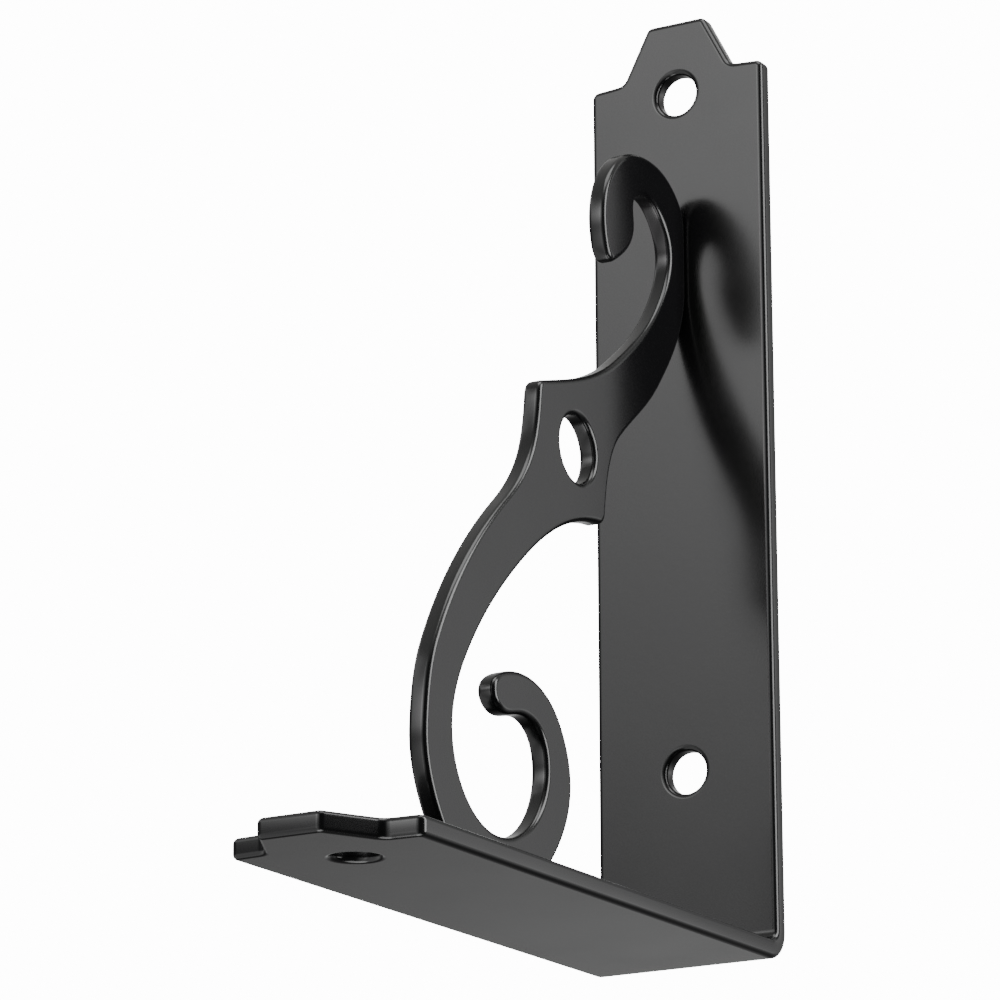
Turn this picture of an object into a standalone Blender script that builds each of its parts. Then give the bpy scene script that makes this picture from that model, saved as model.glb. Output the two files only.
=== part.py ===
"""Scrolled steel shelf bracket: a flat bar bent to an L, with a scroll-cut web standing in its angle.

The bracket is modelled as it is used: the shelf lies on the upper leg, the wall leg hangs below it, and
the web stands on edge in the middle of both. X runs across the bracket, -Y away from the wall and +Z up.
The wall plane is Y = 0, and the origin lies in it, midway between the two wall screws. Both pieces are
drawn from the outer corner of the L: "out" is the distance from the wall, "down" that from the shelf.
"""
import bpy
import bmesh
from math import ceil, cos, pi, radians, sin, sqrt, tan
from mathutils import Vector
from mathutils.geometry import interpolate_bezier

MM = 0.001

# The bar of the L
WALL_LEG_LENGTH = 200 * MM
SHELF_LEG_LENGTH = 150 * MM
BAR_WIDTH = 40 * MM
BAR_THICKNESS = 4 * MM
BEND_OUTER_RADIUS = 6 * MM
BEND_INNER_RADIUS = 2 * MM
EDGE_ROUND = 1.1 * MM

# The clipped ends of the bar: a tab that widens from its tip to its foot, between two shoulders
TAB_TIP_WIDTH = 13 * MM
TAB_FOOT_WIDTH = 25 * MM
TAB_LENGTH = 11.5 * MM
SHOULDER_DROP = 0.5 * MM
TAB_CORNER_RADIUS = 1.6 * MM
TAB_FOOT_RADIUS = 2.5 * MM

# The screw holes
SCREW_HOLE_DIAMETER = 8.8 * MM
WALL_HOLE_FROM_CORNER = 40 * MM
WALL_HOLE_FROM_END = 16 * MM
SHELF_HOLE_FROM_END = 22 * MM

# The scroll web
WEB_THICKNESS = 4 * MM
WELD_GAP = 0.3 * MM
SCROLL_SHORT_OF_SHELF_END = 42.6 * MM
SCROLL_SHORT_OF_WALL_END = 35.4 * MM
EYE_DIAMETER = 13.6 * MM

# The scroll's drawing: u runs out from its back edge, v down from its foot edge, in the drawing's own units.
# Each station is (u, v, heading), the heading in degrees from u towards v. A curve joins it to the next.
DRAWN_REACH = 103.1
DRAWN_DROP = 160.3
DRAWN_EYE = (45.4, 91.0)
FRONT_STATIONS = (
    (91.2, 0.0, 47),
    (103.1, 24.0, 93),
    (99.4, 40.9, 116),
    (73.5, 74.0, 139),
    (64.3, 84.6, 119),
    (60.8, 96.8, 97),
    (58.8, 101.5, 164),
    (29.4, 113.3, 144),
    (11.8, 129.5, 125),
    (7.9, 146.5, 59),
    (18.0, 151.6, -16),
    (21.1, 149.4, -64),
    (21.2, 144.4, -92),
    (29.4, 134.3, -31),
    (33.4, 136.9, 72),
    (20.2, 159.8, 169),
    (6.4, 158.3, 209),
    (0.0, 149.5, 270),
)
BACK_STATIONS = (
    (0.0, 136.6, -90),
    (11.9, 112.3, -51),
    (27.9, 97.8, -44),
    (34.5, 80.2, -83),
    (36.7, 77.9, -4),
    (68.0, 62.3, -41),
    (88.4, 38.9, -59),
    (92.4, 22.2, -102),
    (77.3, 8.5, -175),
    (61.0, 16.0, -235),
    (58.8, 28.1, -288),
    (67.8, 33.1, -367),
    (74.9, 32.3, -344),
    (78.2, 36.9, -252),
    (74.3, 40.0, -201),
    (52.9, 34.5, -126),
    (49.0, 20.6, -81),
    (63.5, 0.0, -43),
)

# How finely curves are stepped
CURVE_SAG = 0.06
FEWEST_STEPS = 2
WIDEST_STEP = radians(30)
BEND_STEPS = 5
CORNER_STEPS = 4
HOLE_SIDES = 40
ROUNDING_STEPS = 2
SHARP_FROM = radians(60)
CUT_MARGIN = 5 * MM

# Places that follow from the sizes
SHELF_PLANE = (WALL_HOLE_FROM_CORNER + WALL_LEG_LENGTH - WALL_HOLE_FROM_END) / 2
WEB_INSET = BAR_THICKNESS + WELD_GAP
SCROLL_REACH = SHELF_LEG_LENGTH - SCROLL_SHORT_OF_SHELF_END - WEB_INSET
SCROLL_DROP = WALL_LEG_LENGTH - SCROLL_SHORT_OF_WALL_END - WEB_INSET
WALL_FLAT = WALL_LEG_LENGTH - BEND_OUTER_RADIUS
SHELF_FLAT = SHELF_LEG_LENGTH - BEND_OUTER_RADIUS
BEND_FLAT = BEND_OUTER_RADIUS * pi / 2
BLANK_LENGTH = WALL_FLAT + BEND_FLAT + SHELF_FLAT


def clear_scene():
    """Start from an empty scene."""
    for obj in list(bpy.data.objects):
        bpy.data.objects.remove(obj, do_unlink=True)


def gloss_black(name, grey):
    """Black powder coat over the steel: a smooth, glossy skin that isn't metallic."""
    material = bpy.data.materials.new(name)
    material.use_nodes = True
    shader = material.node_tree.nodes["Principled BSDF"]
    shader.inputs["Base Color"].default_value = (grey, grey, grey, 1)
    shader.inputs["Roughness"].default_value = 0.2
    shader.inputs["Metallic"].default_value = 0
    return material


def add_object(name, mesh, corner, material=None):
    """A mesh as an object of its own, measured from the outer corner of the L."""
    obj = bpy.data.objects.new(name, mesh)
    bpy.context.scene.collection.objects.link(obj)
    obj.parent = corner
    if material:
        mesh.materials.append(material)
    return obj


def drill(obj, name, radius, depth, place, axis):
    """Cut a round hole through an object, with a cylinder that stays in the scene as a guide."""
    bm = bmesh.new()
    bmesh.ops.create_cone(
        bm, cap_ends=True, segments=HOLE_SIDES, radius1=radius, radius2=radius, depth=depth + 2 * CUT_MARGIN
    )
    mesh = bpy.data.meshes.new(name)
    bm.to_mesh(mesh)
    bm.free()
    cutter = add_object(name, mesh, obj.parent)
    cutter.location = place
    cutter.rotation_euler = Vector((0, 0, 1)).rotation_difference(Vector(axis)).to_euler()
    cutter.hide_render = True
    cutter.display_type = "WIRE"
    cut = obj.modifiers.new(name, "BOOLEAN")
    cut.operation = "DIFFERENCE"
    cut.solver = "EXACT"
    cut.object = cutter


def round_edges(obj):
    """Break every sharp edge with the same small radius, and shade the round stretches smooth."""
    bevel = obj.modifiers.new("rounded_edges", "BEVEL")
    bevel.limit_method = "ANGLE"
    bevel.angle_limit = SHARP_FROM
    bevel.width = EDGE_ROUND
    bevel.segments = ROUNDING_STEPS
    bevel.use_clamp_overlap = False
    obj.data.shade_smooth()
    obj.data.set_sharp_from_angle(angle=SHARP_FROM)


def fillet(before, corner, after, radius):
    """The points of a round corner between two straight edges."""
    back = (before - corner).normalized()
    on = (after - corner).normalized()
    half = back.angle(on) / 2
    centre = corner + (back + on).normalized() * radius / sin(half)
    first = corner + back * radius / tan(half) - centre
    last = corner + on * radius / tan(half) - centre
    return [centre + first.slerp(last, i / CORNER_STEPS) * radius for i in range(CORNER_STEPS + 1)]


def blank_outline():
    """The bar before it is bent: half its outline from the wall end to the shelf end, then the other half."""
    half = [
        (TAB_TIP_WIDTH / 2, 0, TAB_CORNER_RADIUS),
        (TAB_FOOT_WIDTH / 2, TAB_LENGTH, TAB_FOOT_RADIUS),
        (BAR_WIDTH / 2, TAB_LENGTH + SHOULDER_DROP, TAB_CORNER_RADIUS),
        (BAR_WIDTH / 2, BLANK_LENGTH - TAB_LENGTH - SHOULDER_DROP, TAB_CORNER_RADIUS),
        (TAB_FOOT_WIDTH / 2, BLANK_LENGTH - TAB_LENGTH, TAB_FOOT_RADIUS),
        (TAB_TIP_WIDTH / 2, BLANK_LENGTH, TAB_CORNER_RADIUS),
    ]
    corners = half + [(-x, along, radius) for x, along, radius in reversed(half)]
    points = []
    for i, (x, along, radius) in enumerate(corners):
        before = Vector(corners[i - 1][:2])
        after = Vector(corners[(i + 1) % len(corners)][:2])
        points += fillet(before, Vector((x, along)), after, radius)
    return points


def bent(x, along, inside):
    """Where a point of the flat blank goes once it is bent: inside says that it lies on the inner face."""
    face = BAR_THICKNESS if inside else 0
    if along < WALL_FLAT:
        return Vector((x, -face, along - WALL_LEG_LENGTH))
    if along > WALL_FLAT + BEND_FLAT:
        return Vector((x, BLANK_LENGTH - along - SHELF_LEG_LENGTH, -face))
    radius = BEND_INNER_RADIUS if inside else BEND_OUTER_RADIUS
    turn = (along - WALL_FLAT) / BEND_OUTER_RADIUS
    centre = face + radius
    return Vector((x, radius * cos(turn) - centre, radius * sin(turn) - centre))


def make_angle_strip(corner, material):
    """The flat bar: cut to its outline, scored where it bends, given its thickness, bent and drilled."""
    bm = bmesh.new()
    bm.faces.new([bm.verts.new((p.x, p.y, 0)) for p in blank_outline()])
    for i in range(BEND_STEPS + 1):
        bmesh.ops.bisect_plane(
            bm,
            geom=bm.verts[:] + bm.edges[:] + bm.faces[:],
            plane_co=(0, WALL_FLAT + BEND_FLAT * i / BEND_STEPS, 0),
            plane_no=(0, 1, 0),
        )
    raised = bmesh.ops.extrude_face_region(bm, geom=bm.faces[:] + bm.edges[:], use_keep_orig=True)
    inner = {element for element in raised["geom"] if isinstance(element, bmesh.types.BMVert)}
    for vert in bm.verts:
        vert.co = bent(vert.co.x, vert.co.y, vert in inner)
    bmesh.ops.recalc_face_normals(bm, faces=bm.faces[:])
    mesh = bpy.data.meshes.new("angle_strip")
    bm.to_mesh(mesh)
    bm.free()
    strip = add_object("angle_strip", mesh, corner, material)
    radius = SCREW_HOLE_DIAMETER / 2
    middle = -BAR_THICKNESS / 2
    wall_holes = (WALL_HOLE_FROM_CORNER, WALL_LEG_LENGTH - WALL_HOLE_FROM_END)
    for name, down in zip(("upper_wall_screw_cut", "lower_wall_screw_cut"), wall_holes):
        drill(strip, name, radius, BAR_THICKNESS, (0, middle, -down), (0, 1, 0))
    shelf_hole = SHELF_LEG_LENGTH - SHELF_HOLE_FROM_END
    drill(strip, "shelf_screw_cut", radius, BAR_THICKNESS, (0, -shelf_hole, middle), (0, 0, 1))
    round_edges(strip)


def joined(stations):
    """The outline through the stations: between two of them it swings evenly from one heading to the next."""
    points = [Vector(stations[0][:2])]
    for before, after in zip(stations, stations[1:]):
        start = Vector(before[:2])
        end = Vector(after[:2])
        chord = (end - start).length
        turn = radians(abs(after[2] - before[2]))
        handle = chord / (3 * cos(turn / 4) ** 2)
        leave = start + Vector((cos(radians(before[2])), sin(radians(before[2])))) * handle
        arrive = end - Vector((cos(radians(after[2])), sin(radians(after[2])))) * handle
        bow = chord / 2 * tan(turn / 4)
        steps = max(FEWEST_STEPS, ceil(sqrt(bow / CURVE_SAG)), ceil(turn / WIDEST_STEP))
        curve = interpolate_bezier(start, leave, arrive, end, steps + 1)
        points += [p.to_2d() for p in curve[1:]]
    return points


def on_web(u, v):
    """How far out and down a point of the drawing lies."""
    return WEB_INSET + u * SCROLL_REACH / DRAWN_REACH, WEB_INSET + v * SCROLL_DROP / DRAWN_DROP


def make_scroll_web(corner, material):
    """The scroll: cut from plate to its outline, with a round eye in its ear."""
    outline = joined(FRONT_STATIONS) + joined(BACK_STATIONS)
    bm = bmesh.new()
    side = -WEB_THICKNESS / 2
    verts = []
    for point in outline:
        out, down = on_web(point.x, point.y)
        verts.append(bm.verts.new((side, -out, -down)))
    bm.faces.new(verts)
    raised = bmesh.ops.extrude_face_region(bm, geom=bm.faces[:] + bm.edges[:], use_keep_orig=True)
    moved = [element for element in raised["geom"] if isinstance(element, bmesh.types.BMVert)]
    bmesh.ops.translate(bm, verts=moved, vec=(WEB_THICKNESS, 0, 0))
    bmesh.ops.recalc_face_normals(bm, faces=bm.faces[:])
    mesh = bpy.data.meshes.new("scroll_web")
    bm.to_mesh(mesh)
    bm.free()
    web = add_object("scroll_web", mesh, corner, material)
    eye_out, eye_down = on_web(*DRAWN_EYE)
    drill(web, "eye_cut", EYE_DIAMETER / 2, WEB_THICKNESS, (0, -eye_out, -eye_down), (1, 0, 0))
    round_edges(web)


def main():
    clear_scene()
    corner = bpy.data.objects.new("outer_corner", None)
    bpy.context.scene.collection.objects.link(corner)
    corner.location = (0, 0, SHELF_PLANE)
    make_angle_strip(corner, gloss_black("bar_powder_coat", 0.012))
    make_scroll_web(corner, gloss_black("web_powder_coat", 0.01))


main()
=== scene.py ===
# %% [markdown]
# # A scrolled shelf bracket in black powder coat
#
# The object is two pieces of flat steel, both 4 mm thick. A bar, 40 mm wide, is cut to shape at both ends,
# drilled and bent once to an L. A scroll, cut from plate, stands on edge in the angle and is welded to both
# legs. The whole bracket then gets one coat of gloss black powder, which melts to an even skin in the oven.
#
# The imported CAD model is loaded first, as a fixed frame: it says where each piece lies. X runs across the
# bracket, -Y away from the wall and +Z up to the shelf, all in metres.

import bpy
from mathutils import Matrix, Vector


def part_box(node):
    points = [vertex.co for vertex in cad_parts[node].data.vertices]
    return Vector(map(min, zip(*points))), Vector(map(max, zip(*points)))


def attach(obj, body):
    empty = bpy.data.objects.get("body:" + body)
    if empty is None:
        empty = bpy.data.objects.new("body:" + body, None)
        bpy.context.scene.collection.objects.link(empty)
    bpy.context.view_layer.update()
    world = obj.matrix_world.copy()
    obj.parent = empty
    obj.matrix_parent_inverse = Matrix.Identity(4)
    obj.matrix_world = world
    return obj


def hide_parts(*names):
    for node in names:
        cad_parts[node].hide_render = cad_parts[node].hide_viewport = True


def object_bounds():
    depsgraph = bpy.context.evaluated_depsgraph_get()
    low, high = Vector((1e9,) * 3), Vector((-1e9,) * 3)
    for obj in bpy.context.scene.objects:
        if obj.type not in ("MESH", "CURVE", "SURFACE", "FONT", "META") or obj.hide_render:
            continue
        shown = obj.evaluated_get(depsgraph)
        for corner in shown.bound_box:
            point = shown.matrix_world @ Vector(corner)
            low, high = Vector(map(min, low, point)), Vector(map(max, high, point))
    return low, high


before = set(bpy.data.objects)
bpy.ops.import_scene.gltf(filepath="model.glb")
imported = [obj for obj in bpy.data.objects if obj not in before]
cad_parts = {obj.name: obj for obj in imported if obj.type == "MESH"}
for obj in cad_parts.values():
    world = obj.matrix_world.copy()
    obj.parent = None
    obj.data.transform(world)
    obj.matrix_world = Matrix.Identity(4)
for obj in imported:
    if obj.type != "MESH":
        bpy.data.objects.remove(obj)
cad_low, cad_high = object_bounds()
print("CAD nodes:", sorted(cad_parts), "from", tuple(cad_low), "to", tuple(cad_high))

# %% Blender's modules and the unit
import bpy
import bmesh
from math import ceil, cos, pi, radians, sin, sqrt, tan
from mathutils import Matrix, Vector
from mathutils.geometry import interpolate_bezier

MM = 0.001

# %% [markdown]
# ## How a node tree is written down
#
# Both the shapes and the finishes below are node trees. Placing nodes by hand can't be repeated by a
# script, so one small function adds a node, changes its settings and fills its inputs. An input is either
# a plain value or a socket of an earlier node, and then the two are linked.

# %% One function that adds a node
def add_node(tree, kind, settings=None, inputs=None):
    """Add a node with its settings. Inputs go by name or number, to a value or to a socket to link."""
    node = tree.nodes.new(kind)
    for name, value in (settings or {}).items():
        setattr(node, name, value)
    for key, value in (inputs or {}).items():
        if isinstance(value, bpy.types.NodeSocket):
            tree.links.new(value, node.inputs[key])
        else:
            node.inputs[key].default_value = value
    return node


# %% [markdown]
# ## The rule that both pieces follow: a flat plate with a rounded rim
#
# Bar and scroll were both cut from flat stock and tumbled, so every edge has the same small rounding. A
# Bevel modifier would do it, but where the outline is stepped finely it leaves thin and crossing faces.
# Here a Geometry Nodes tree sweeps half of a rounded rectangle along the outline, which gives the rim,
# and closes both sides with a flat face. Its sizes are named inputs, so one tree serves both pieces.

# %% The inputs of the rounded plate
plate_tree = bpy.data.node_groups.new("rounded_plate", "GeometryNodeTree")
sockets = plate_tree.interface
sockets.new_socket("Outline", in_out="INPUT", socket_type="NodeSocketGeometry")
for size in ("Thickness", "Edge Radius", "Flat Strip"):
    sockets.new_socket(size, in_out="INPUT", socket_type="NodeSocketFloat").subtype = "DISTANCE"
sockets.new_socket("Rounding Steps", in_out="INPUT", socket_type="NodeSocketInt")
sockets.new_socket("Coating", in_out="INPUT", socket_type="NodeSocketMaterial")
sockets.new_socket("Plate", in_out="OUTPUT", socket_type="NodeSocketGeometry")
given = add_node(plate_tree, "NodeGroupInput").outputs
print("rounded_plate takes:", [socket.name for socket in sockets.items_tree if socket.in_out == "INPUT"])

# %% [markdown]
# ### The profile of the rim
#
# Cut across, the rim is half of a rounded rectangle: in from one flat side, round the edge and back onto the
# other side. It is drawn as a rectangle with one side left out, whose two corners are then filleted. It runs
# a little way onto the flat on each side, and those two narrow strips keep the smooth shading of the
# rounding from spreading over the flat.

# %% Draw the profile
times = {"operation": "MULTIPLY"}
top = add_node(plate_tree, "ShaderNodeMath", times, {0: given["Thickness"], 1: 0.5}).outputs[0]
bottom = add_node(plate_tree, "ShaderNodeMath", times, {0: given["Thickness"], 1: -0.5}).outputs[0]
reach = add_node(plate_tree, "ShaderNodeMath", None, {0: given["Edge Radius"], 1: given["Flat Strip"]})
inset = add_node(plate_tree, "ShaderNodeMath", times, {0: reach.outputs[0], 1: -1}).outputs[0]
rectangle = add_node(plate_tree, "GeometryNodeCurvePrimitiveQuadrilateral", {"mode": "POINTS"})
for number, (x, y) in enumerate(((inset, bottom), (0, bottom), (0, top), (inset, top)), 1):
    corner = add_node(plate_tree, "ShaderNodeCombineXYZ", None, {"X": x, "Y": y})
    plate_tree.links.new(corner.outputs[0], rectangle.inputs[f"Point {number}"])
opened = add_node(plate_tree, "GeometryNodeSetSplineCyclic", None, {
    "Geometry": rectangle.outputs[0],
    "Cyclic": False,
})
profile = add_node(plate_tree, "GeometryNodeFilletCurve", {"mode": "POLY"}, {
    "Curve": opened.outputs[0],
    "Count": given["Rounding Steps"],
    "Radius": given["Edge Radius"],
})
print("profile:", len(plate_tree.nodes), "nodes so far")

# %% [markdown]
# ### Rim and flat sides
#
# The sweep makes the rim. The flat sides are the same outline, moved in along its own normals as far as the
# profile reaches, and filled. The underside is turned over so that its face points outwards, and the seams
# between rim and sides are merged, which leaves one closed solid.

# %% Sweep the rim, fill the sides and close the solid
SEAM_WIDTH = 0.002 * MM

outline = add_node(plate_tree, "GeometryNodeSetCurveNormal", {"mode": "Z_UP"}, {
    "Curve": given["Outline"],
}).outputs[0]
rim =add_node(plate_tree, "GeometryNodeCurveToMesh", None, {
    "Curve": outline,
    "Profile Curve": profile.outputs[0],
})
sideways = add_node(plate_tree, "GeometryNodeInputNormal").outputs[0]
shift = add_node(plate_tree, "ShaderNodeVectorMath", {"operation": "SCALE"}, {0: sideways, "Scale": inset})
shrunk = add_node(plate_tree, "GeometryNodeSetPosition", None, {
    "Geometry": outline,
    "Offset": shift.outputs[0],
})
flat = add_node(plate_tree, "GeometryNodeFillCurve", {"mode": "NGONS"}, {"Curve": shrunk.outputs[0]})
sides = []
for height in (top, bottom):
    rise = add_node(plate_tree, "ShaderNodeCombineXYZ", None, {"Z": height})
    sides.append(add_node(plate_tree, "GeometryNodeTransform", None, {
        "Geometry": flat.outputs[0],
        "Translation": rise.outputs[0],
    }))
under = add_node(plate_tree, "GeometryNodeFlipFaces", None, {"Mesh": sides[1].outputs[0]})
parts = add_node(plate_tree, "GeometryNodeJoinGeometry")
for part in (rim, sides[0], under):
    plate_tree.links.new(part.outputs[0], parts.inputs[0])
closed = add_node(plate_tree, "GeometryNodeMergeByDistance", None, {
    "Geometry": parts.outputs[0],
    "Distance": SEAM_WIDTH,
})
smooth = add_node(plate_tree, "GeometryNodeSetShadeSmooth", None, {"Geometry": closed.outputs[0]})
real = add_node(plate_tree, "GeometryNodeRealizeInstances", None, {"Geometry": smooth.outputs[0]})
coated = add_node(plate_tree, "GeometryNodeSetMaterial", None, {
    "Geometry": real.outputs[0],
    "Material": given["Coating"],
})
add_node(plate_tree, "NodeGroupOutput", None, {0: coated.outputs[0]})
print("rounded_plate:", len(plate_tree.nodes), "nodes")

# %% [markdown]
# ## From loops of points to a plain mesh
#
# The outer loop runs anticlockwise and each hole clockwise, so that the sweep's outward side is always away
# from the steel. The tree works as a modifier on the curve. Its result is then copied to a plain mesh, and
# the curve with its modifier goes. A finished piece sits at the origin, unturned and unscaled, with its place
# in its points: the coating's pattern is laid out on the piece's own coordinates, and so stays where it is.

# %% Build one plate with the tree
EDGE_ROUND = 1.1 * MM
ROUNDING_STEPS = 8
FLAT_STRIP = 0.08 * MM


def build_plate(name, loops, thickness, coating):
    """A plate in its own XY plane, as a bmesh, with half its thickness on each side of Z = 0."""
    curve = bpy.data.curves.new(name, "CURVE")
    curve.dimensions = "3D"
    for loop in loops:
        spline = curve.splines.new("POLY")
        spline.points.add(len(loop) - 1)
        for point, at in zip(spline.points, loop):
            point.co = (at[0], at[1], 0, 1)
        spline.use_cyclic_u = True
    drawn = bpy.data.objects.new(name, curve)
    bpy.context.scene.collection.objects.link(drawn)
    plate = drawn.modifiers.new("rounded_plate", "NODES")
    plate.node_group = plate_tree
    wanted = {
        "Thickness": thickness,
        "Edge Radius": EDGE_ROUND,
        "Flat Strip": FLAT_STRIP,
        "Rounding Steps": ROUNDING_STEPS,
        "Coating": coating,
    }
    for socket in sockets.items_tree:
        if socket.name in wanted:
            plate[socket.identifier] = wanted[socket.name]
    bpy.context.view_layer.update()
    result = bpy.data.meshes.new_from_object(drawn.evaluated_get(bpy.context.evaluated_depsgraph_get()))
    bm = bmesh.new()
    bm.from_mesh(result)
    bpy.data.objects.remove(drawn)
    bpy.data.meshes.remove(result)
    print(name, "has", len(bm.faces), "faces")
    return bm


# %% Turn a bmesh into a finished piece
def finish_piece(name, bm, coating):
    """A bmesh as a finished piece: at the origin, unturned and unscaled, with its place in its mesh."""
    mesh = bpy.data.meshes.new(name)
    bm.to_mesh(mesh)
    mesh.materials.append(coating)
    open_edges = sum(1 for edge in bm.edges if len(edge.link_faces) != 2)
    volume = round(bm.calc_volume() / MM**3)
    print(name, len(mesh.polygons), "faces,", open_edges, "open edges,", volume, "mm3")
    bm.free()
    piece = bpy.data.objects.new(name, mesh)
    bpy.context.scene.collection.objects.link(piece)
    return piece


# %% [markdown]
# ## Colours and the coating
#
# Powder coat is a polyester or epoxy paint, sprayed on as dry powder and baked. It isn't metallic: light
# mirrors weakly off the clear resin at the top, and what goes in is swallowed by the carbon black below.
# That gives the eye a deep black where the room is dark, and clear grey shapes where the room is bright.
# Two things tell it from moulded plastic. The melt stays very slightly wavy, which is called orange peel,
# and its gloss changes a little from place to place.

# %% Colours from hex codes
def from_hex(code):
    """An sRGB hex code as the linear colour that the shaders work in."""
    parts = [int(code[i:i + 2], 16) / 255 for i in (1, 3, 5)]
    return [p / 12.92 if p <= 0.04045 else ((p + 0.055) / 1.055) ** 2.4 for p in parts] + [1.0]


# %% The gloss black powder coat
COAT_BLACK = "#0B0B0C"
COAT_IOR = 1.5
COAT_ROUGHNESS = (0.17, 0.21)
GLOSS_PATCH = 22 * MM
PATCH_RANGE = (0.35, 0.65)
PEEL_WAVE = 1.6 * MM
PEEL_DEPTH = 0.004 * MM
PEEL_STRENGTH = 0.6


def powder_coat(name, seed):
    """Gloss black powder coat, with faint orange peel and a gloss that drifts from place to place."""
    material = bpy.data.materials.new(name)
    material.use_nodes = True
    tree = material.node_tree
    shader = tree.nodes["Principled BSDF"]
    shader.inputs["Base Color"].default_value = from_hex(COAT_BLACK)
    shader.inputs["Metallic"].default_value = 0.0
    shader.inputs["IOR"].default_value = COAT_IOR
    place = add_node(tree, "ShaderNodeTexCoord").outputs["Object"]
    shifted = add_node(tree, "ShaderNodeMapping", None, {
        "Vector": place,
        "Location": (seed, 0, 0),
    }).outputs[0]
    patches = add_node(tree, "ShaderNodeTexNoise", None, {
        "Vector": shifted,
        "Scale": 1 / GLOSS_PATCH,
        "Detail": 2.0,
    })
    rough = add_node(tree, "ShaderNodeMapRange", None, {
        "Value": patches.outputs["Fac"],
        "From Min": PATCH_RANGE[0],
        "From Max": PATCH_RANGE[1],
        "To Min": COAT_ROUGHNESS[0],
        "To Max": COAT_ROUGHNESS[1],
    })
    tree.links.new(rough.outputs[0], shader.inputs["Roughness"])
    peel = add_node(tree, "ShaderNodeTexNoise", None, {
        "Vector": shifted,
        "Scale": 1 / PEEL_WAVE,
        "Detail": 1.0,
    })
    wavy = add_node(tree, "ShaderNodeBump", None, {
        "Height": peel.outputs["Fac"],
        "Distance": PEEL_DEPTH,
        "Strength": PEEL_STRENGTH,
    })
    tree.links.new(wavy.outputs[0], shader.inputs["Normal"])
    return material


BAR_COAT = powder_coat("gloss_black_powder_coat_on_bar", seed=0.0)
SCROLL_COAT = powder_coat("gloss_black_powder_coat_on_scroll", seed=0.37)
print("coatings:", BAR_COAT.name, "and", SCROLL_COAT.name)

# %% [markdown]
# ## The bar, cut flat
#
# A bracket like this starts as a straight length of bar. The press cuts a tab with sloping sides at each
# end, punches three screw holes and only then bends it. It is built in that order here, because a flat
# outline is easy to draw and the bend then moves every point by one rule.

# %% Round off the corners of an outline, and draw a hole
CORNER_STEPS = 8
HOLE_STEPS = 72


def fillet(before, corner, after, radius):
    """The points of a round corner between two straight edges."""
    back = (before - corner).normalized()
    on = (after - corner).normalized()
    half = back.angle(on) / 2
    centre = corner + (back + on).normalized() * radius / sin(half)
    first = corner + back * radius / tan(half) - centre
    last = corner + on * radius / tan(half) - centre
    return [centre + first.slerp(last, i / CORNER_STEPS) * radius for i in range(CORNER_STEPS + 1)]


def rounded_loop(corners):
    """A closed outline from its corners, each given as (x, y, radius)."""
    points = []
    for i, (x, y, radius) in enumerate(corners):
        before = Vector(corners[i - 1][:2])
        after = Vector(corners[(i + 1) % len(corners)][:2])
        points += fillet(before, Vector((x, y)), after, radius)
    return points


def hole(x, y, diameter):
    """A round hole, clockwise."""
    turns = (2 * pi * i / HOLE_STEPS for i in range(HOLE_STEPS))
    return [(x + diameter / 2 * cos(turn), y - diameter / 2 * sin(turn)) for turn in turns]


# %% The flat blank
BAR_WIDTH = 40 * MM
BAR_THICKNESS = 4 * MM
BEND_INNER_RADIUS = 2 * MM
BEND_OUTER_RADIUS = BEND_INNER_RADIUS + BAR_THICKNESS
WALL_LEG_LENGTH = cad_high.z - cad_low.z
SHELF_LEG_LENGTH = cad_high.y - cad_low.y
WALL_FLAT = WALL_LEG_LENGTH - BEND_OUTER_RADIUS
BEND_FLAT = BEND_OUTER_RADIUS * pi / 2
BLANK_LENGTH = WALL_FLAT + BEND_FLAT + SHELF_LEG_LENGTH - BEND_OUTER_RADIUS

TAB_TIP_WIDTH = 13 * MM
TAB_FOOT_WIDTH = 25 * MM
TAB_LENGTH = 11.5 * MM
SHOULDER_DROP = 0.5 * MM
TAB_CORNER_RADIUS = 1.6 * MM
TAB_FOOT_RADIUS = 2.5 * MM

SCREW_HOLE_DIAMETER = 8.8 * MM
WALL_HOLE_FROM_CORNER = 40 * MM
WALL_HOLE_FROM_END = 16 * MM
SHELF_HOLE_FROM_END = 22 * MM

half_end = [
    (TAB_TIP_WIDTH / 2, 0, TAB_CORNER_RADIUS),
    (TAB_FOOT_WIDTH / 2, TAB_LENGTH, TAB_FOOT_RADIUS),
    (BAR_WIDTH / 2, TAB_LENGTH + SHOULDER_DROP, TAB_CORNER_RADIUS),
]
right_side = half_end + [(x, BLANK_LENGTH - y, radius) for x, y, radius in reversed(half_end)]
left_side = [(-x, y, radius) for x, y, radius in reversed(right_side)]
blank_loops = [rounded_loop(right_side + left_side)]
for along in (
    WALL_HOLE_FROM_END,
    WALL_LEG_LENGTH - WALL_HOLE_FROM_CORNER,
    BLANK_LENGTH - SHELF_HOLE_FROM_END,
):
    blank_loops.append(hole(0, along, SCREW_HOLE_DIAMETER))
blank = build_plate("bar_blank", blank_loops, BAR_THICKNESS, BAR_COAT)
print("blank:", round(BLANK_LENGTH / MM, 1), "mm long")

# %% [markdown]
# ## The bar, bent to an L
#
# A Simple Deform modifier bends a whole object evenly, but here only 9 mm out of 347 turn and the rest has
# to stay flat. So the blank is cut across at even steps where it will turn, and each of its points is
# moved to where the press would take it. Inside and outside of the bend turn round one centre, so the bar
# keeps its thickness, and the inside radius is the smaller by just that. One more cut just before and just
# after the bend keeps the shading of the flats clean, as on the rim.

# %% Bend the blank
BEND_STEPS = 12
BEND_MARGIN = 0.25 * MM


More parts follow.
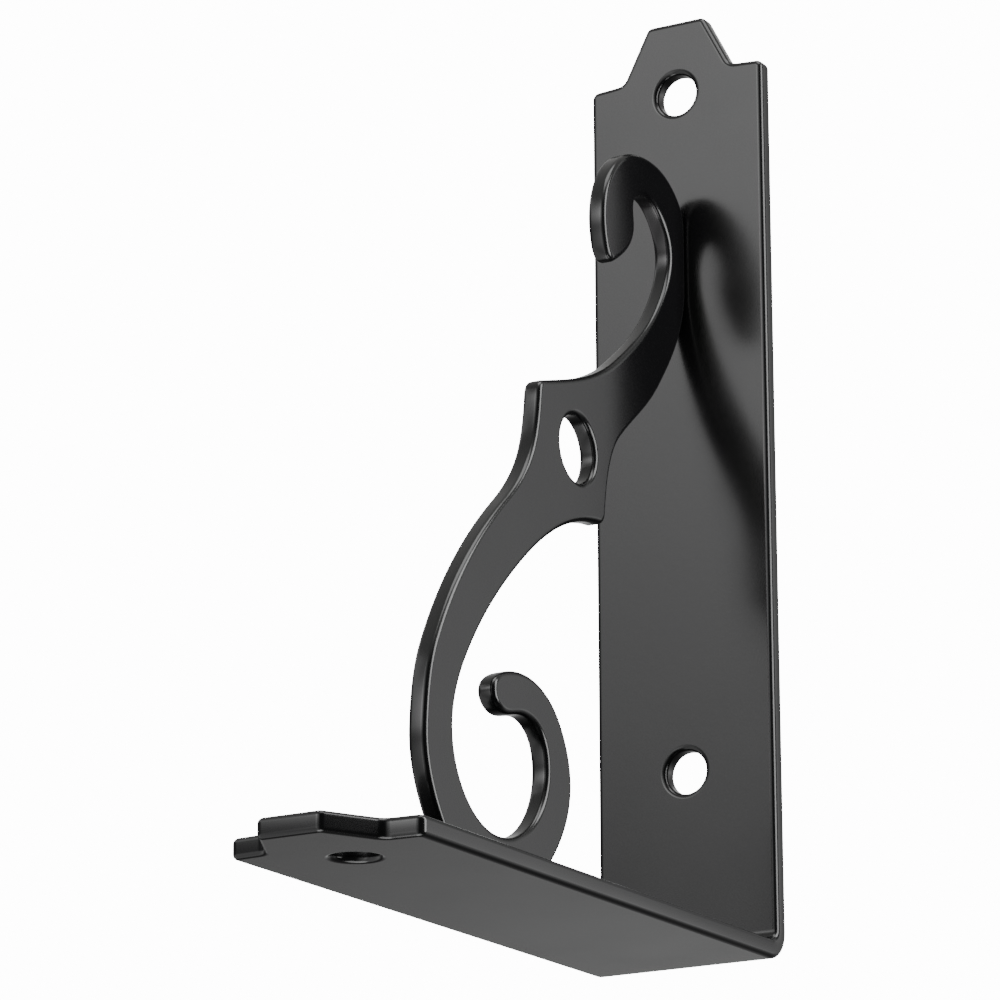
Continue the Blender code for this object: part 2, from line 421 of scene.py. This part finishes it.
def bent(x, along, depth):
    """Where a point of the blank goes: depth runs from 0 on the outside of the L to 1 on its inside."""
    before = WALL_FLAT - along
    after = along - WALL_FLAT - BEND_FLAT
    radius = BEND_OUTER_RADIUS - depth * BAR_THICKNESS
    if before > 0:
        from_centre = Vector((x, radius, -before))
    elif after > 0:
        from_centre = Vector((x, -after, radius))
    else:
        turn = (along - WALL_FLAT) / BEND_OUTER_RADIUS
        from_centre = Vector((x, radius * cos(turn), radius * sin(turn)))
    return from_centre + Vector((0, -BEND_OUTER_RADIUS, cad_high.z - BEND_OUTER_RADIUS))


cuts = [WALL_FLAT + BEND_FLAT * i / BEND_STEPS for i in range(BEND_STEPS + 1)]
for cut in [cuts[0] - BEND_MARGIN] + cuts + [cuts[-1] + BEND_MARGIN]:
    bmesh.ops.bisect_plane(
        blank,
        geom=blank.verts[:] + blank.edges[:] + blank.faces[:],
        plane_co=(0, cut, 0),
        plane_no=(0, 1, 0),
    )
for vert in blank.verts:
    vert.co = bent(vert.co.x, vert.co.y, vert.co.z / BAR_THICKNESS + 0.5)
bar = finish_piece("powder_coated_bar", blank, BAR_COAT)
print("wall leg", round(WALL_LEG_LENGTH / MM, 1), "mm, shelf leg", round(SHELF_LEG_LENGTH / MM, 1), "mm")

# %% [markdown]
# ## The scroll
#
# The scroll starts as a drawing: a hook at the end of the wall leg, an ear with an eye in the middle, a bowed
# arm and a curl on the shelf leg. It could be traced by hand with Bezier handles, but every handle is two
# more numbers to get wrong, and the edge soon shows flat spots. Here it is set out as a draughtsman swings
# it: a few stations, each with the way that the edge runs there. Between two stations the edge turns evenly
# from one heading to the next. One unit of the drawing is one millimetre: u runs out from the scroll's back
# edge, v down from its foot on the shelf leg, and a heading is in degrees from u towards v. The sag is how
# far a step may cut the corner of the curve, in the same unit.

# %% The stations of the drawing
FRONT_STATIONS = (
    (91.2, 0.0, 47),
    (103.1, 24.0, 93),
    (99.4, 40.9, 116),
    (73.5, 74.0, 139),
    (64.3, 84.6, 119),
    (60.8, 96.8, 97),
    (58.8, 101.5, 164),
    (29.4, 113.3, 144),
    (11.8, 129.5, 125),
    (7.9, 146.5, 59),
    (18.0, 151.6, -16),
    (21.1, 149.4, -64),
    (21.2, 144.4, -92),
    (29.4, 134.3, -31),
    (33.4, 136.9, 72),
    (20.2, 159.8, 169),
    (6.4, 158.3, 209),
    (0.0, 149.5, 270),
)
BACK_STATIONS = (
    (0.0, 136.6, -90),
    (11.9, 112.3, -51),
    (27.9, 97.8, -44),
    (34.5, 80.2, -83),
    (36.7, 77.9, -4),
    (68.0, 62.3, -41),
    (88.4, 38.9, -59),
    (92.4, 22.2, -102),
    (77.3, 8.5, -175),
    (61.0, 16.0, -235),
    (58.8, 28.1, -288),
    (67.8, 33.1, -367),
    (74.9, 32.3, -344),
    (78.2, 36.9, -252),
    (74.3, 40.0, -201),
    (52.9, 34.5, -126),
    (49.0, 20.6, -81),
    (63.5, 0.0, -43),
)
EYE = (45.4, 91.0)
print("stations:", len(FRONT_STATIONS), "on the front edge,", len(BACK_STATIONS), "on the back edge")

# %% Swing the edge from station to station
CURVE_SAG = 0.01
WIDEST_STEP = radians(8)
FEWEST_STEPS = 4


def swung(edge_stations):
    """The points of one edge: from each station an even turn to the next, in steps too fine to be seen."""
    points = [Vector(edge_stations[0][:2])]
    for before, after in zip(edge_stations, edge_stations[1:]):
        start = Vector(before[:2])
        end = Vector(after[:2])
        chord = (end - start).length
        turn = radians(abs(after[2] - before[2]))
        handle = chord / (3 * cos(turn / 4) ** 2)
        leave = start + Vector((cos(radians(before[2])), sin(radians(before[2])))) * handle
        arrive = end - Vector((cos(radians(after[2])), sin(radians(after[2])))) * handle
        bow = chord / 2 * tan(turn / 4)
        steps = max(FEWEST_STEPS, ceil(sqrt(bow / CURVE_SAG)), ceil(turn / WIDEST_STEP))
        curve = interpolate_bezier(start, leave, arrive, end, steps + 1)
        points += [p.to_2d() for p in curve[1:]]
    return points


drawing = swung(FRONT_STATIONS) + swung(BACK_STATIONS)
print("scroll outline:", len(drawing), "points")

# %% [markdown]
# ### Cut from plate and stood on edge
#
# The real scroll is cut from plate with its eye, then stood between the two legs. The drawing is measured
# from the upper wall corner of the web's box in the frame, so it lands where the CAD solid is. The plate is
# made lying down, as the bar was. To stand it on edge its points swap their axes, which is exact and leaves
# no rotation on the object.

# %% Cut the scroll from plate and stand it in the L
PLATE_THICKNESS = 4 * MM
EYE_DIAMETER = 13.6 * MM
web_low, web_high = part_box("scroll_web")


def on_plate(u, v):
    """A point of the drawing in the plate's own plane: x towards the wall, y up to the shelf."""
    return web_high.y - u * MM, web_high.z - v * MM


scroll_loop = [on_plate(u, v) for u, v in drawing]
around = sum(a[0] * b[1] - b[0] * a[1] for a, b in zip(scroll_loop, scroll_loop[1:] + scroll_loop[:1]))
if around < 0:
    scroll_loop.reverse()
eye_y, eye_z = on_plate(*EYE)
scroll_loops = [scroll_loop, hole(eye_y, eye_z, EYE_DIAMETER)]
plate = build_plate("scroll_blank", scroll_loops, PLATE_THICKNESS, SCROLL_COAT)
for vert in plate.verts:
    vert.co = Vector((vert.co.z, vert.co.x, vert.co.y))
scroll = finish_piece("powder_coated_scroll", plate, SCROLL_COAT)
print("scroll:", round((web_high.y - web_low.y) / MM, 1), "by", round((web_high.z - web_low.z) / MM, 1), "mm")

# %% [markdown]
# ## Tie the pieces to the frame
#
# Nothing on this bracket moves, so both pieces ride on the one body, root. Each stands for the CAD solid
# that it dresses, and that solid is hidden.

# %% Ride and replace
for piece, node, slot in (
    (bar, "angle_strip", "black_powder_coat_bar"),
    (scroll, "scroll_web", "black_powder_coat_web"),
):
    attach(piece, "root")
    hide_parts(node)
    print(piece.name, "stands for", node)

# %% [markdown]
# ## The camera
#
# The bracket was photographed lying on its shelf leg, seen from a little below that leg. The model is kept
# as it hangs on a wall, so the camera is turned over instead. It is a long lens, about a metre away. The
# lens is never shifted: the camera slides sideways until the aim lies on its pixel of the picture.

# %% Place the camera
VIEW_FROM_SIDE = radians(-30.295)
VIEW_FROM_ABOVE = radians(16.044)
VIEW_ROLL = radians(180 - 0.218)
VIEW_DISTANCE = 987.5 * MM
FOCAL_PIXELS = 5015.5
IMAGE_PIXELS = 1000
AIM_PIXEL = (594.13, 439.12)
AIM_FROM_WALL = 40 * MM
SENSOR_WIDTH = 36
NEAREST_SEEN = 50 * MM

camera_data = bpy.data.cameras.new("camera")
camera_data.sensor_width = SENSOR_WIDTH
camera_data.lens = SENSOR_WIDTH * FOCAL_PIXELS / IMAGE_PIXELS
camera_data.clip_start = NEAREST_SEEN
camera = bpy.data.objects.new("camera", camera_data)
bpy.context.scene.collection.objects.link(camera)
bpy.context.scene.camera = camera

back = Vector((
    sin(VIEW_FROM_SIDE) * cos(VIEW_FROM_ABOVE),
    -cos(VIEW_FROM_SIDE) * cos(VIEW_FROM_ABOVE),
    sin(VIEW_FROM_ABOVE),
))
level = Vector((0, 0, 1)).cross(back).normalized()
upright = back.cross(level)
right = level * cos(VIEW_ROLL) + upright * sin(VIEW_ROLL)
up = back.cross(right)
aim = Vector((0, -AIM_FROM_WALL, cad_high.z - WALL_LEG_LENGTH / 2))
per_pixel = VIEW_DISTANCE / FOCAL_PIXELS
slide = right * (IMAGE_PIXELS / 2 - AIM_PIXEL[0]) - up * (IMAGE_PIXELS / 2 - AIM_PIXEL[1])
turned = Matrix((right, up, back)).transposed().to_4x4()
camera.matrix_world = Matrix.Translation(aim + back * VIEW_DISTANCE + slide * per_pixel) @ turned
print("camera at", [round(c, 4) for c in camera.matrix_world.translation])

# %% [markdown]
# ## The studio
#
# A black gloss surface shows little of itself: what the eye reads is the room in its mirror. So the room is
# the real work of this picture. In a real studio sheets of white paper hang round the object, each in soft
# light, and every flat face of the bracket picks out one of them. The sheets could be built as glowing
# panels, but here they are painted on the background, because then a face's grey depends on its direction
# alone and is easy to set. Directions are in degrees, seen from the bracket: 0 is straight out from the wall,
# 90 is on its +X side, -90 on its -X side, where the camera is nearer, and heights run from -90 below to 90
# above. Each sheet is one curve over the direction times one over the height:
#
# - in front to the right, which shows in the long wall leg and in the scroll's front edges;
# - behind to the right, which shows in the shelf leg's seat;
# - behind to the left, which shows in the scroll's side and the bar's near edge;
# - to the right, high and low only, which shows where the scroll's front edge faces up or down.
#
# The camera alone sees a plain paper-white background instead.

# %% The light room
world = bpy.data.worlds.new("studio")
bpy.context.scene.world = world
world.use_nodes = True
sky = world.node_tree
direction = add_node(sky, "ShaderNodeTexCoord").outputs["Generated"]
split = add_node(sky, "ShaderNodeSeparateXYZ", None, {0: direction})
ahead = add_node(sky, "ShaderNodeMath", {"operation": "MULTIPLY"}, {0: split.outputs["Y"], 1: -1.0})
azimuth = add_node(sky, "ShaderNodeMath", {"operation": "ARCTAN2"}, {
    0: split.outputs["X"],
    1: ahead.outputs[0],
}).outputs[0]
elevation = add_node(sky, "ShaderNodeMath", {"operation": "ARCSINE"}, {0: split.outputs["Z"]}).outputs[0]


def ramp(value, stops):
    """A smooth curve over an angle in degrees, from stops of (angle, light)."""
    total = 0.0
    for (a, low), (b, high) in zip(stops, stops[1:]):
        step = add_node(sky, "ShaderNodeMapRange", {"interpolation_type": "SMOOTHSTEP"}, {
            "Value": value,
            "From Min": radians(a),
            "From Max": radians(b),
            "To Min": 0.0,
            "To Max": high - low,
        })
        total = add_node(sky, "ShaderNodeMath", None, {0: step.outputs[0], 1: total}).outputs[0]
    return add_node(sky, "ShaderNodeMath", None, {0: total, 1: stops[0][1]}).outputs[0]


def sheet(around_stops, height_stops):
    """A lit sheet of paper: how far it reaches round the bracket, times how it changes with height."""
    spread = ramp(azimuth, around_stops)
    rise = ramp(elevation, height_stops)
    return add_node(sky, "ShaderNodeMath", {"operation": "MULTIPLY"}, {0: spread, 1: rise}).outputs[0]


print("room: directions from", len(sky.nodes), "nodes")

# %% Hang the sheets and join them to the background
FRONT_SHEET = (
    ((-30, 0), (4, 0.95), (18, 1.95), (28, 1.0), (35, 0.7), (44, 0.3), (60, 0)),
    ((-60, 1.0), (-38, 1.1), (-23, 3.5), (-8, 0.75), (4, 1.2), (40, 0.9)),
)
BACK_RIGHT_SHEET = (
    ((128, 0), (140, 0.6), (146, 0.7), (153, 1.05), (180, 1)),
    ((-30, 0.9), (-12, 1.1), (2, 0.6), (14, 0.27), (22, 0.22), (34, 0.08)),
)
BACK_LEFT_SHEET = (
    ((-180, 0.45), (-155, 0.45), (-146, 1.4), (-138, 1), (-126, 0)),
    ((-30, 0.7), (-14, 0.87), (-4, 1.3), (6, 0.7), (16, 0.4), (24, 0.2), (34, 0.08)),
)
SIDE_SHEET = (
    ((34, 0), (46, 1), (96, 1), (122, 0)),
    ((-60, 1.3), (-32, 1.3), (-20, 0.1), (2, 0.1), (14, 0.9), (60, 0.9)),
)
SHEETS = (FRONT_SHEET, BACK_RIGHT_SHEET, BACK_LEFT_SHEET, SIDE_SHEET)
ROOM_DARK = 0.05
light = ROOM_DARK
for around_stops, height_stops in SHEETS:
    light = add_node(sky, "ShaderNodeMath", None, {0: sheet(around_stops, height_stops), 1: light}).outputs[0]
PAPER_WHITE = 14.0
shown = add_node(sky, "ShaderNodeMix", {"data_type": "FLOAT"}, {
    "Factor": add_node(sky, "ShaderNodeLightPath").outputs["Is Camera Ray"],
    "A": light,
    "B": PAPER_WHITE,
})
sky.links.new(shown.outputs["Result"], sky.nodes["Background"].inputs["Color"])
print("sheets of paper:", len(SHEETS))

# %% [markdown]
# ## Softboxes for the edges
#
# A rounded edge mirrors half the room in one millimetre. A softbox that is narrow from there shows in it as a
# fine light line, and that line tells the eye how the edge is rounded. Area lights fit, because they have a
# real size and place: the one at the side stands close, so it lies in a slightly different direction from
# each part of the bracket, as in a small studio. The ones above and below light the rims of the holes. All
# three aim at one point near the middle of the bracket.

# %% The softboxes
LIT_POINT = Vector((0, -50 * MM, 0))


def softbox(name, azimuth, elevation, distance, width, height, radiance):
    """A rectangular softbox aimed at the bracket, placed by its direction from it. Its power follows from how
    bright it looks: watts = radiance x pi x area."""
    a = radians(azimuth)
    e = radians(elevation)
    outward = Vector((sin(a) * cos(e), -cos(a) * cos(e), sin(e)))
    lamp = bpy.data.lights.new(name, "AREA")
    lamp.shape = "RECTANGLE"
    lamp.size = width
    lamp.size_y = height
    lamp.energy = radiance * pi * width * height
    box = bpy.data.objects.new(name, lamp)
    bpy.context.scene.collection.objects.link(box)
    box.location = LIT_POINT + outward * distance
    box.rotation_mode = "QUATERNION"
    box.rotation_quaternion = outward.to_track_quat("Z", "Y")
    box.visible_camera = False
    print(name, round(lamp.energy, 1), "W")


softbox("side_softbox", azimuth=-99, elevation=-8, distance=0.286, width=0.16, height=0.44, radiance=8.0)
softbox("overhead_softbox", azimuth=0, elevation=85, distance=1.5, width=1.2, height=0.8, radiance=4.0)
softbox("ground_softbox", azimuth=-60, elevation=-72, distance=0.5, width=0.35, height=0.25, radiance=4.0)

# %% [markdown]
# ## The floor
#
# The bracket hangs in the air, as on a wall, so the floor is a plain disc well below it. It is in matt white
# paint, which looks an even pale grey with no mirror in it, and it carries no shadow with an edge. It is a
# stage piece: it belongs to the picture and not to the part.

# %% The floor
FLOOR_BELOW = 0.6
FLOOR_RADIUS = 0.85
FLOOR_SIDES = 96
FLOOR_PAINT = "#E9E9E7"

disc = bmesh.new()
bmesh.ops.create_circle(disc, cap_ends=True, segments=FLOOR_SIDES, radius=FLOOR_RADIUS)
floor_mesh = bpy.data.meshes.new("studio_floor")
disc.to_mesh(floor_mesh)
disc.free()
floor = bpy.data.objects.new("studio_floor", floor_mesh)
bpy.context.scene.collection.objects.link(floor)
floor.location = (0, 0, cad_low.z - FLOOR_BELOW)
pale = bpy.data.materials.new("matt_white_paint")
pale.use_nodes = True
paint = pale.node_tree.nodes["Principled BSDF"]
paint.inputs["Base Color"].default_value = from_hex(FLOOR_PAINT)
paint.inputs["Roughness"].default_value = 0.8
floor_mesh.materials.append(pale)
print("floor", FLOOR_BELOW, "m below the bracket")

# %% [markdown]
# ## The box of the CAD model
#
# The pieces above dress the CAD model and are meant to keep its size. The box of the CAD model is
# written down.

# %% Write down the box of the CAD model
print("CAD box", [round(v, 5) for v in (*cad_low, *cad_high)])
